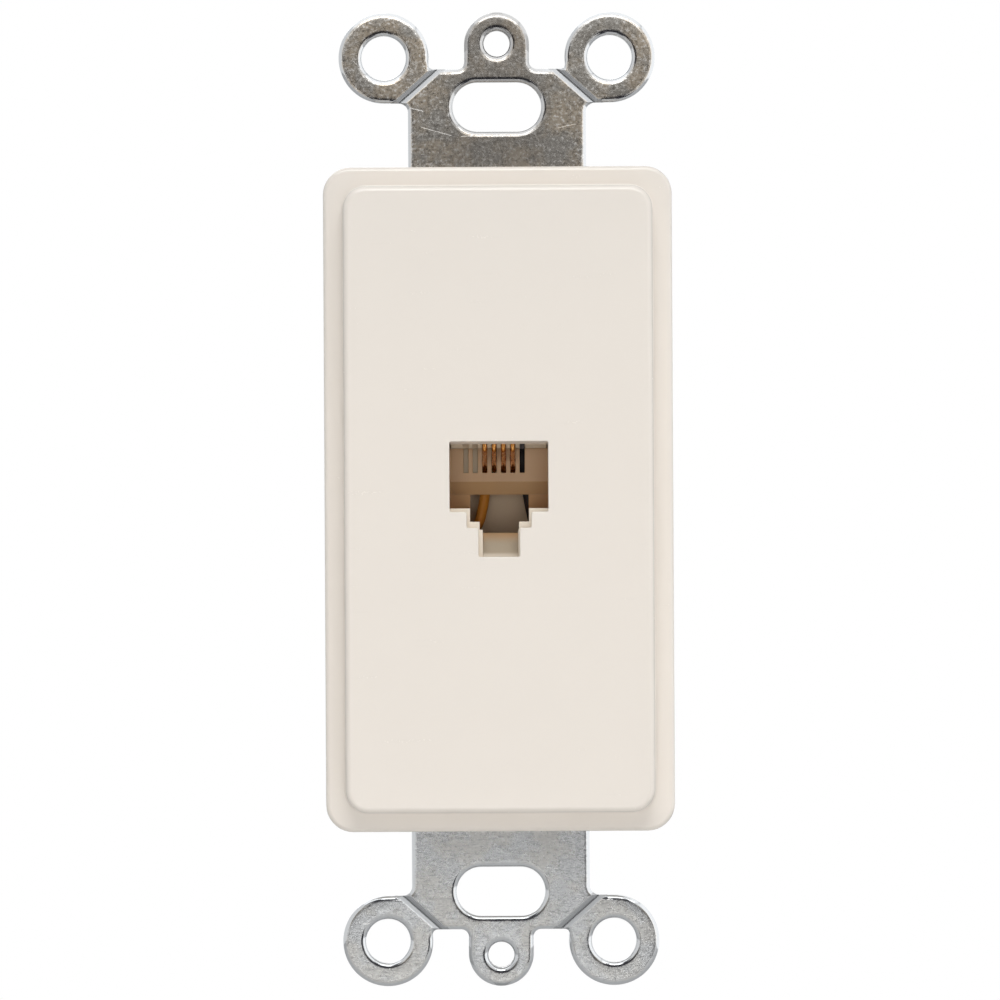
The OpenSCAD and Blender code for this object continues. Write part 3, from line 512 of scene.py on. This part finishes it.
for end, low in ((1, 11.0), (-1, -9.0)):
    inner, outer = sorted((low, end * (ASSEMBLY_Z - 2.6)))
    cover_parts.append(box_shell(-0.55, inner, 0.55, outer, SKIN_Y - 0.2, -2.8))
    for side in (1, -1):
        inner, outer = sorted((side * 2.6, side * 15.4))
        cover_parts.append(box_shell(inner, end * ASSEMBLY_Z - 0.55, outer, end * ASSEMBLY_Z + 0.55,
                                     SKIN_Y - 0.2, -2.8))
# The cover is painted a little darker towards its top: painted shade.
almond = moulded_plastic("almond_cover", written(237, 229, 219), [("Z", 0, 42, written(233, 226, 217))],
                         (0.23, 0.27), 0.0008, 1.72)
made("cover_moulding", joined(cover_parts), almond, "almond_plastic", "face_cover")

# Jack housing, contact carrier, terminal base and rear cap. The real ones are separate mouldings
# in a tougher, duller plastic. The housing is painted darker and warmer deep inside and the cap
# warmer at its front: painted shade. The housing sits in the strap's window, the carrier slides
# into it from behind, and the base and cap close it at the back.


def kept(node, material, edge_w=0.0, angle=40):
    """A CAD node that stays: its triangles are welded and its sharp edges softened."""
    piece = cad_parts[node]
    for place in piece.material_slots:
        place.material = material
    if edge_w:
        weld = piece.modifiers.new("weld", "WELD")
        weld.merge_threshold = 0.0005 * MM
        flat = piece.modifiers.new("flat faces", "DECIMATE")
        flat.decimate_type, flat.angle_limit = "DISSOLVE", np.radians(0.5)
        bevel = piece.modifiers.new("soft edges", "BEVEL")
        bevel.width, bevel.segments = edge_w * MM, 2
        bevel.limit_method, bevel.angle_limit = "ANGLE", np.radians(angle)
        bevel.use_clamp_overlap = True
        weights = piece.modifiers.new("flat faces stay flat", "WEIGHTED_NORMAL")
        weights.keep_sharp = True
    return piece


# Behind its front land the housing is painted greyer, then tan deeper in, and darker and warmer low down: painted
# shade, warmed by light bounced inside.
jack_tone_and_painted_shade = moulded_plastic("jack_moulding", written(228, 217, 201),
                            [("Y", -5.2, -4.0, written(186, 173, 152)), ("Y", -1.5, 3.0, written(216, 182, 144)),
                             ("Y", 4.45, 4.6, written(190, 173, 147)), ("Z", 1.95, 1.8, written(206, 170, 126)),
                             ("Z", 0.5, 0.4, written(214, 172, 122)), ("Y", 1.0, -2.5, written(186, 173, 152)),
                             ("Y", -4.2, -5.2, written(228, 217, 201))], (0.35, 0.5))
carrier_tone = moulded_plastic("carrier_moulding", written(200, 183, 160), (), (0.4, 0.55))
base_tone = moulded_plastic("base_moulding", written(222, 210, 192), (), (0.4, 0.55), 0.004)
# The cap's front, deep in the chamber, is painted warmer than its back: painted warm shade.
cap_tone_and_painted_shade = moulded_plastic("cap_moulding", written(236, 209, 176), [("Y", 11.6, 11.9, written(222, 210, 192))],
                           (0.4, 0.55), 0.004)
kept("jack_body", jack_tone_and_painted_shade, 0.08)
kept("contact_carrier", carrier_tone, 0.05)
kept("rear_cap", cap_tone_and_painted_shade, 0.12)
kept("terminal_base", base_tone, 0.12)

# Contact wires. The real ones are spring wire with gold plate, bent down over the carrier's nose
# and back up to the comb slots, and crimped in a sleeve to a lead in the chamber behind.
CHAMBER_Y, COMB_Y = 6.0, 4.4
WIRE_R, WIRE_TOP, WIRE_FRONT, WIRE_LOW, WIRE_END = 0.23, 7.67, -3.67, 5.27, 3.45
SLEEVE_X = [-1.5, -0.8, 0.8, 2.5]
SLEEVE_BACK = [0.95, 2.45, 2.45, 0.95]
SLEEVE_TOP, SLEEVE_L = 7.2, 1.8


def unit(v):
    return v / np.linalg.norm(v, axis=-1, keepdims=True)


def bent(points, reach, steps=10):
    """Straight runs joined by bends: each inner point becomes a quadratic curve that starts and
    ends reach from it."""
    p = np.asarray(points, float)
    start = p[1:-1] + reach * unit(p[:-2] - p[1:-1])
    end = p[1:-1] + reach * unit(p[2:] - p[1:-1])
    t = np.linspace(0, 1, steps + 1)[:, None, None]
    bends = ((1 - t) ** 2 * start + 2 * t * (1 - t) * p[1:-1] + t ** 2 * end).transpose(1, 0, 2)
    return np.concatenate([p[:1], bends.reshape(-1, 3), p[-1:]])


def swept(path, radius, sides, reference, round_end):
    """A round wire on a grid of length and angle: the path plus the radius times the cosine of the
    angle along one normal and its sine along the other. Domed ends shrink the radius with the
    cosine of an angle while they reach out with its sine."""
    tangent = np.empty_like(path)
    tangent[1:-1] = unit(path[2:] - path[:-2])
    tangent[0], tangent[-1] = unit(path[1] - path[0]), unit(path[-1] - path[-2])
    dome = np.radians([80, 60, 40, 20])
    reach = radius * np.sin(dome)[:, None] * (1.0 if round_end else 0.02)
    line = np.concatenate([path[:1] - reach * tangent[:1], path, path[-1:] + (reach * tangent[-1:])[::-1]])
    tangent = np.concatenate([np.repeat(tangent[:1], 4, 0), tangent, np.repeat(tangent[-1:], 4, 0)])
    size = np.concatenate([np.cos(dome), np.ones(len(path)), np.cos(dome)[::-1]]) * radius
    first = unit(reference - (tangent @ reference)[:, None] * tangent)
    second = np.cross(tangent, first)
    angle = np.linspace(0, 2 * np.pi, sides, endpoint=False)[None, :, None]
    ring = np.cos(angle) * first[:, None] + np.sin(angle) * second[:, None]
    grid = line[:, None] + size[:, None, None] * ring
    rows = len(line)
    index = np.arange(rows * sides).reshape(rows, sides)
    beside = np.roll(index, -1, axis=1)
    quads = np.stack([index[:-1], beside[:-1], beside[1:], index[1:]], axis=2).reshape(-1, 4)
    mesh = bpy.data.meshes.new("wire")
    mesh.from_pydata(grid.reshape(-1, 3), [], quads.tolist() + [index[0, ::-1].tolist(), index[-1].tolist()])
    body = bmesh.new()
    body.from_mesh(mesh)
    bmesh.ops.recalc_face_normals(body, faces=body.faces)
    return joined([body])


def drawn_metal(name, tone, shadow, rough=(0.18, 0.32)):
    """Drawn or turned metal: a slightly uneven tone, dull spots and fine draw marks."""
    metal = Finish(name, Metallic=1.0)
    spots = metal.noise(0.5, 3, 0.6)
    fine = metal.noise(0.08, 2, 0.6)
    colour = metal.blend(metal.graded(spots, 0.35, 0.75), tone, shadow)
    metal.bumped(fine, 0.0012)
    metal.bumped(metal.noise(0.9, 2), 0.003)
    return metal.done(colour, metal.graded(spots, 0.3, 0.7, *rough, "LINEAR"))


gold = drawn_metal("gold_plate", (0.95, 0.47, 0.14, 1), (0.74, 0.33, 0.09, 1))
for i in range(4):
    x, back = i - 1.5, CHAMBER_Y + SLEEVE_BACK[i]
    route = [[SLEEVE_X[i], back, SLEEVE_TOP - 0.5], [SLEEVE_X[i], back, WIRE_TOP],
             [x, CHAMBER_Y + 0.25, WIRE_TOP], [x, WIRE_FRONT, WIRE_TOP], [x, WIRE_FRONT, WIRE_LOW],
             [x, COMB_Y + 0.2, WIRE_END + 0.14], [x, COMB_Y + 0.8, WIRE_END - 0.42]]
    wire = swept(bent(route, 0.42), WIRE_R, 20, np.array([1.0, 0, 0]), True)
    made(f"spring_wire_{i + 1}", wire, gold, "contact_gold", f"contact_wire_{i + 1}", sharp=60)

# Leads and their splice sleeves. The real leads are stranded copper in coloured soft insulation.
# Each is crimped to its contact wire in a brass sleeve, runs through the lower window's chamber
# and out at the housing's side to its screw terminal.
EXIT_Y, BARREL_Y, LUG_END, TERMINAL_X = 7.6, 5.95, 8.8, 10.77
LEAD_R = 0.55
LEADS = {
    "yellow": (-1, -1, [(-1.5, 4.2), (-1.4, 2.4), (-1.5, 0.5), (-1.8, -1.2), (-2.4, -2.9)], (203, 134, 48)),
    "green": (-1, 1, [(-0.8, 4.2), (-1, 2.9), (-2.1, 2), (-3.9, 1.8)], (47, 107, 69)),
    "red": (1, 1, [(0.8, 4.2), (1, 2.9), (2.1, 2), (3.9, 1.8)], (168, 50, 43)),
    "black": (1, -1, [(2.5, 4.2), (2.7, 2.2), (3.1, 0.4), (3.4, -1.2), (3.7, -2.6)], (46, 40, 40)),
}


def smooth_path(points, steps=8):
    """Catmull-Rom curve: in each span a cubic through its ends, whose slope at each point is half
    of the way from the point before to the point after."""
    p = np.asarray(points, float)
    a, b, c, d = np.concatenate([p[:1], p[:-2]]), p[:-1], p[1:], np.concatenate([p[2:], p[-1:]])
    t = np.linspace(0, 1, steps, endpoint=False)[:, None, None]
    spans = 0.5 * (2 * b + (c - a) * t + (2 * a - 5 * b + 4 * c - d) * t ** 2
                   + (3 * b - a - 3 * c + d) * t ** 3)
    return np.concatenate([spans.transpose(1, 0, 2).reshape(-1, 3), p[-1:]])


def insulation(name, tone):
    """Soft extruded insulation: waxy, faintly streaked along its length, with dusty patches."""
    soft = Finish(name, IOR=1.5)
    dust = soft.noise(1.4, 3, 0.6)
    streak = soft.noise(0.3, 2, 0.6)
    pale = tuple(0.85 * v + 0.04 for v in tone[:3]) + (1.0,)
    colour = soft.blend(soft.graded(dust, 0.45, 0.75, 0, 0.35), tone, pale)
    soft.bumped(streak, 0.006)
    return soft.done(colour, soft.graded(dust, 0.3, 0.7, 0.34, 0.5, "LINEAR"))


for i, (name, (side, up, inner, tone)) in enumerate(LEADS.items()):
    back = CHAMBER_Y + SLEEVE_BACK[i]
    z = 1.9 if up > 0 else -4.8
    points = [[SLEEVE_X[i], back, SLEEVE_TOP - SLEEVE_L / 2 - 0.1], [SLEEVE_X[i], back, SLEEVE_TOP - SLEEVE_L - 0.6]]
    points += [[px, back, pz] for px, pz in inner]
    points += [[side * 4.3, (back + 2 * EXIT_Y) / 3, z if up > 0 else z + 0.3], [side * 5.6, EXIT_Y, z],
               [side * 8.2, EXIT_Y, z], [side * (TERMINAL_X - 1), EXIT_Y, z + up * 0.5],
               [side * (TERMINAL_X + 0.4), (EXIT_Y + BARREL_Y) / 2, up * (LUG_END - 3)],
               [side * TERMINAL_X, BARREL_Y, up * (LUG_END - 1.4)],
               [side * TERMINAL_X, BARREL_Y, up * (LUG_END - 0.5)],
               [side * TERMINAL_X, BARREL_Y, up * (LUG_END + 2.1)]]
    wire = swept(smooth_path(points), LEAD_R, 24, np.array([0.0, 1, 0]), False)
    if name == "black":
        scrap = box_shell(2.24, 5.32, 2.76, 6.25, -3.92, -3.45, 0.05)
        scrap.from_mesh(wire)
        wire = joined([scrap])
    made(f"insulated_lead_{name}", wire, insulation(f"insulation_{name}", written(*tone)),
         f"lead_{name}", f"lead_{name}", sharp=60)
kept("splice_sleeves", drawn_metal("sleeve_brass", (0.72, 0.55, 0.32, 1), (0.5, 0.36, 0.2, 1)))

# Terminals. The real ones are brass plates pressed into the base, slotted brass screws threaded
# into them, and tinned fork lugs crimped on the leads and clamped under the screw heads.
brass = drawn_metal("terminal_brass", (0.8, 0.62, 0.33, 1), (0.71, 0.54, 0.28, 1), (0.2, 0.3))
tin = drawn_metal("lug_tin", (0.78, 0.77, 0.74, 1), (0.6, 0.59, 0.56, 1), (0.28, 0.42))
steel = drawn_metal("screw_steel", (0.66, 0.66, 0.65, 1), (0.45, 0.44, 0.43, 1), (0.25, 0.4))
for name in LEADS:
    kept(f"terminal_plate_{name}", brass, 0.08)
    kept(f"terminal_screw_{name}", brass, 0.08)
    kept(f"spade_lug_{name}", tin, 0.06)
for end in ("top", "bottom"):
    kept(f"assembly_screw_{end}", steel, 0.08)

# Photograph. A long lens looks straight at the front, with a slight lean of the object to the left.
# Soft light comes from above, the sheet round the object is white, and a grey card behind the
# camera is what the flat metal reflects.
camera_data = bpy.data.cameras.new("camera")
camera_data.sensor_width = 36
camera_data.lens = 406.2
camera = bpy.data.objects.new("camera", camera_data)
camera.location = (0.11 * MM, -1.2, -0.1 * MM)
camera.rotation_euler = (np.radians(90), np.radians(0.31), 0)
bpy.context.scene.collection.objects.link(camera)
bpy.context.scene.camera = camera


def flat_panel(name, corners):
    mesh = bpy.data.meshes.new(name)
    mesh.from_pydata(corners, [], [list(range(4))])
    panel = bpy.data.objects.new(name, mesh)
    bpy.context.scene.collection.objects.link(panel)
    return panel


def seen_white(tree, shader_in, lit, direct):
    """Camera, mirror and see-through rays meet plain white, and all others meet the lit shader."""
    path = tree.nodes.new("ShaderNodeLightPath")
    either = path.outputs["Is Camera Ray"]
    for key in ("Is Glossy Ray", "Is Transmission Ray"):
        most = tree.nodes.new("ShaderNodeMath")
        most.operation = "MAXIMUM"
        tree.links.new(either, most.inputs[0])
        tree.links.new(path.outputs[key], most.inputs[1])
        either = most.outputs[0]
    mix = tree.nodes.new("ShaderNodeMixShader")
    tree.links.new(either, mix.inputs[0])
    tree.links.new(lit, mix.inputs[1])
    tree.links.new(direct, mix.inputs[2])
    tree.links.new(mix.outputs[0], shader_in)


floor = flat_panel("floor", [(-1.5, -1.5, -0.3), (1.5, -1.5, -0.3), (1.5, 0.6, -0.3), (-1.5, 0.6, -0.3)])
floor_material = bpy.data.materials.new("floor")
floor_material.use_nodes = True
floor_material.node_tree.nodes["Principled BSDF"].inputs["Base Color"].default_value = (0.85, 0.85, 0.85, 1)
floor_material.node_tree.nodes["Principled BSDF"].inputs["Roughness"].default_value = 0.9
floor.data.materials.append(floor_material)

world = bpy.data.worlds.new("white sheet")
bpy.context.scene.world = world
world.use_nodes = True
sky = world.node_tree
soft_sky = sky.nodes["Background"]
soft_sky.inputs["Color"].default_value = (1, 1, 1, 1)
soft_sky.inputs["Strength"].default_value = 0.2
white = sky.nodes.new("ShaderNodeBackground")
white.inputs["Color"].default_value = (1, 1, 1, 1)
white.inputs["Strength"].default_value = 1.0
seen_white(sky, sky.nodes["World Output"].inputs["Surface"], soft_sky.outputs[0], white.outputs[0])

def upright(left, low, right, high, far):
    return [(left, -far, low), (right, -far, low), (right, -far, high), (left, -far, high)]


# What only mirror rays see, each with its brightness: a dim brown sheet above the camera, light
# sheets below it, black paper close to the object, from the upper left to the lower right, that
# draws the dark lines beside the rolled edges, and white boards on the right and overhead.
BLACK = (0.05, 0.05, 0.06)
CARDS = [(upright(-0.9, 0.0, 0.9, 0.5, 1.6), (0.305, 0.285, 0.254)),
         (upright(-0.9, -0.42, 0.9, 0.0, 1.6), (0.7, 0.7, 0.7)),
         (upright(-1.5, -1.5, 1.5, -0.42, 1.61), (0.94, 0.98, 1.0)),
         (upright(-0.05, -0.046, 0.05, 0.046, 0.15), BLACK), (upright(-0.095, 0.03, -0.035, 0.1, 0.15), BLACK),
         (upright(0.035, -0.1, 0.095, -0.03, 0.15), BLACK), (upright(0.045, 0.04, 0.065, 0.1, 0.15), BLACK),
         (upright(-0.062, -0.1, -0.05, -0.04, 0.15), BLACK),
         ([(0.8, -1.3, -0.7), (0.8, 1.5, -0.7), (0.8, 1.5, 0.9), (0.8, -1.3, 0.9)], (1.5, 1.5, 1.5)),
         ([(-0.8, -1.2, 1.0), (0.8, -1.2, 1.0), (0.8, 1.5, 1.0), (-0.8, 1.5, 1.0)], (1.5, 1.5, 1.5))]
for i, (corners, bright) in enumerate(CARDS):
    card = flat_panel(f"card {i}", corners)
    card_material = bpy.data.materials.new(f"card {i}")
    card_material.use_nodes = True
    glow = card_material.node_tree.nodes.new("ShaderNodeEmission")
    glow.inputs["Color"].default_value = (*bright, 1)
    card_material.node_tree.links.new(glow.outputs[0],
                                      card_material.node_tree.nodes["Material Output"].inputs[0])
    card.data.materials.append(card_material)
    card.visible_camera = card.visible_diffuse = card.visible_shadow = card.visible_transmission = False


def soft_lamp(name, width, height, power, place, tilt, turn, mirrored):
    """A softbox, which mirror rays see only where mirrored is true."""
    data = bpy.data.lights.new(name, "AREA")
    data.shape, data.size, data.size_y, data.energy = "RECTANGLE", width, height, power
    lamp = bpy.data.objects.new(name, data)
    lamp.location = place
    lamp.rotation_euler = (np.radians(tilt), 0, np.radians(turn))
    lamp.visible_camera, lamp.visible_glossy = False, mirrored
    bpy.context.scene.collection.objects.link(lamp)


soft_lamp("key", 1.6, 1.1, 26.6, (0.08, -1.4, 1.6), 41, 3, True)
soft_lamp("front", 0.5, 0.5, 4.25, (0, -1.4, -0.1), 94, 0, False)
soft_lamp("right", 0.6, 0.6, 1.4, (1.2, -0.9, 0.15), 84, 53, True)
soft_lamp("back", 1.2, 0.8, 6.0, (-0.5, 1.3, 1.0), 54, 201, True)

bpy.context.scene.view_settings.view_transform = "Standard"
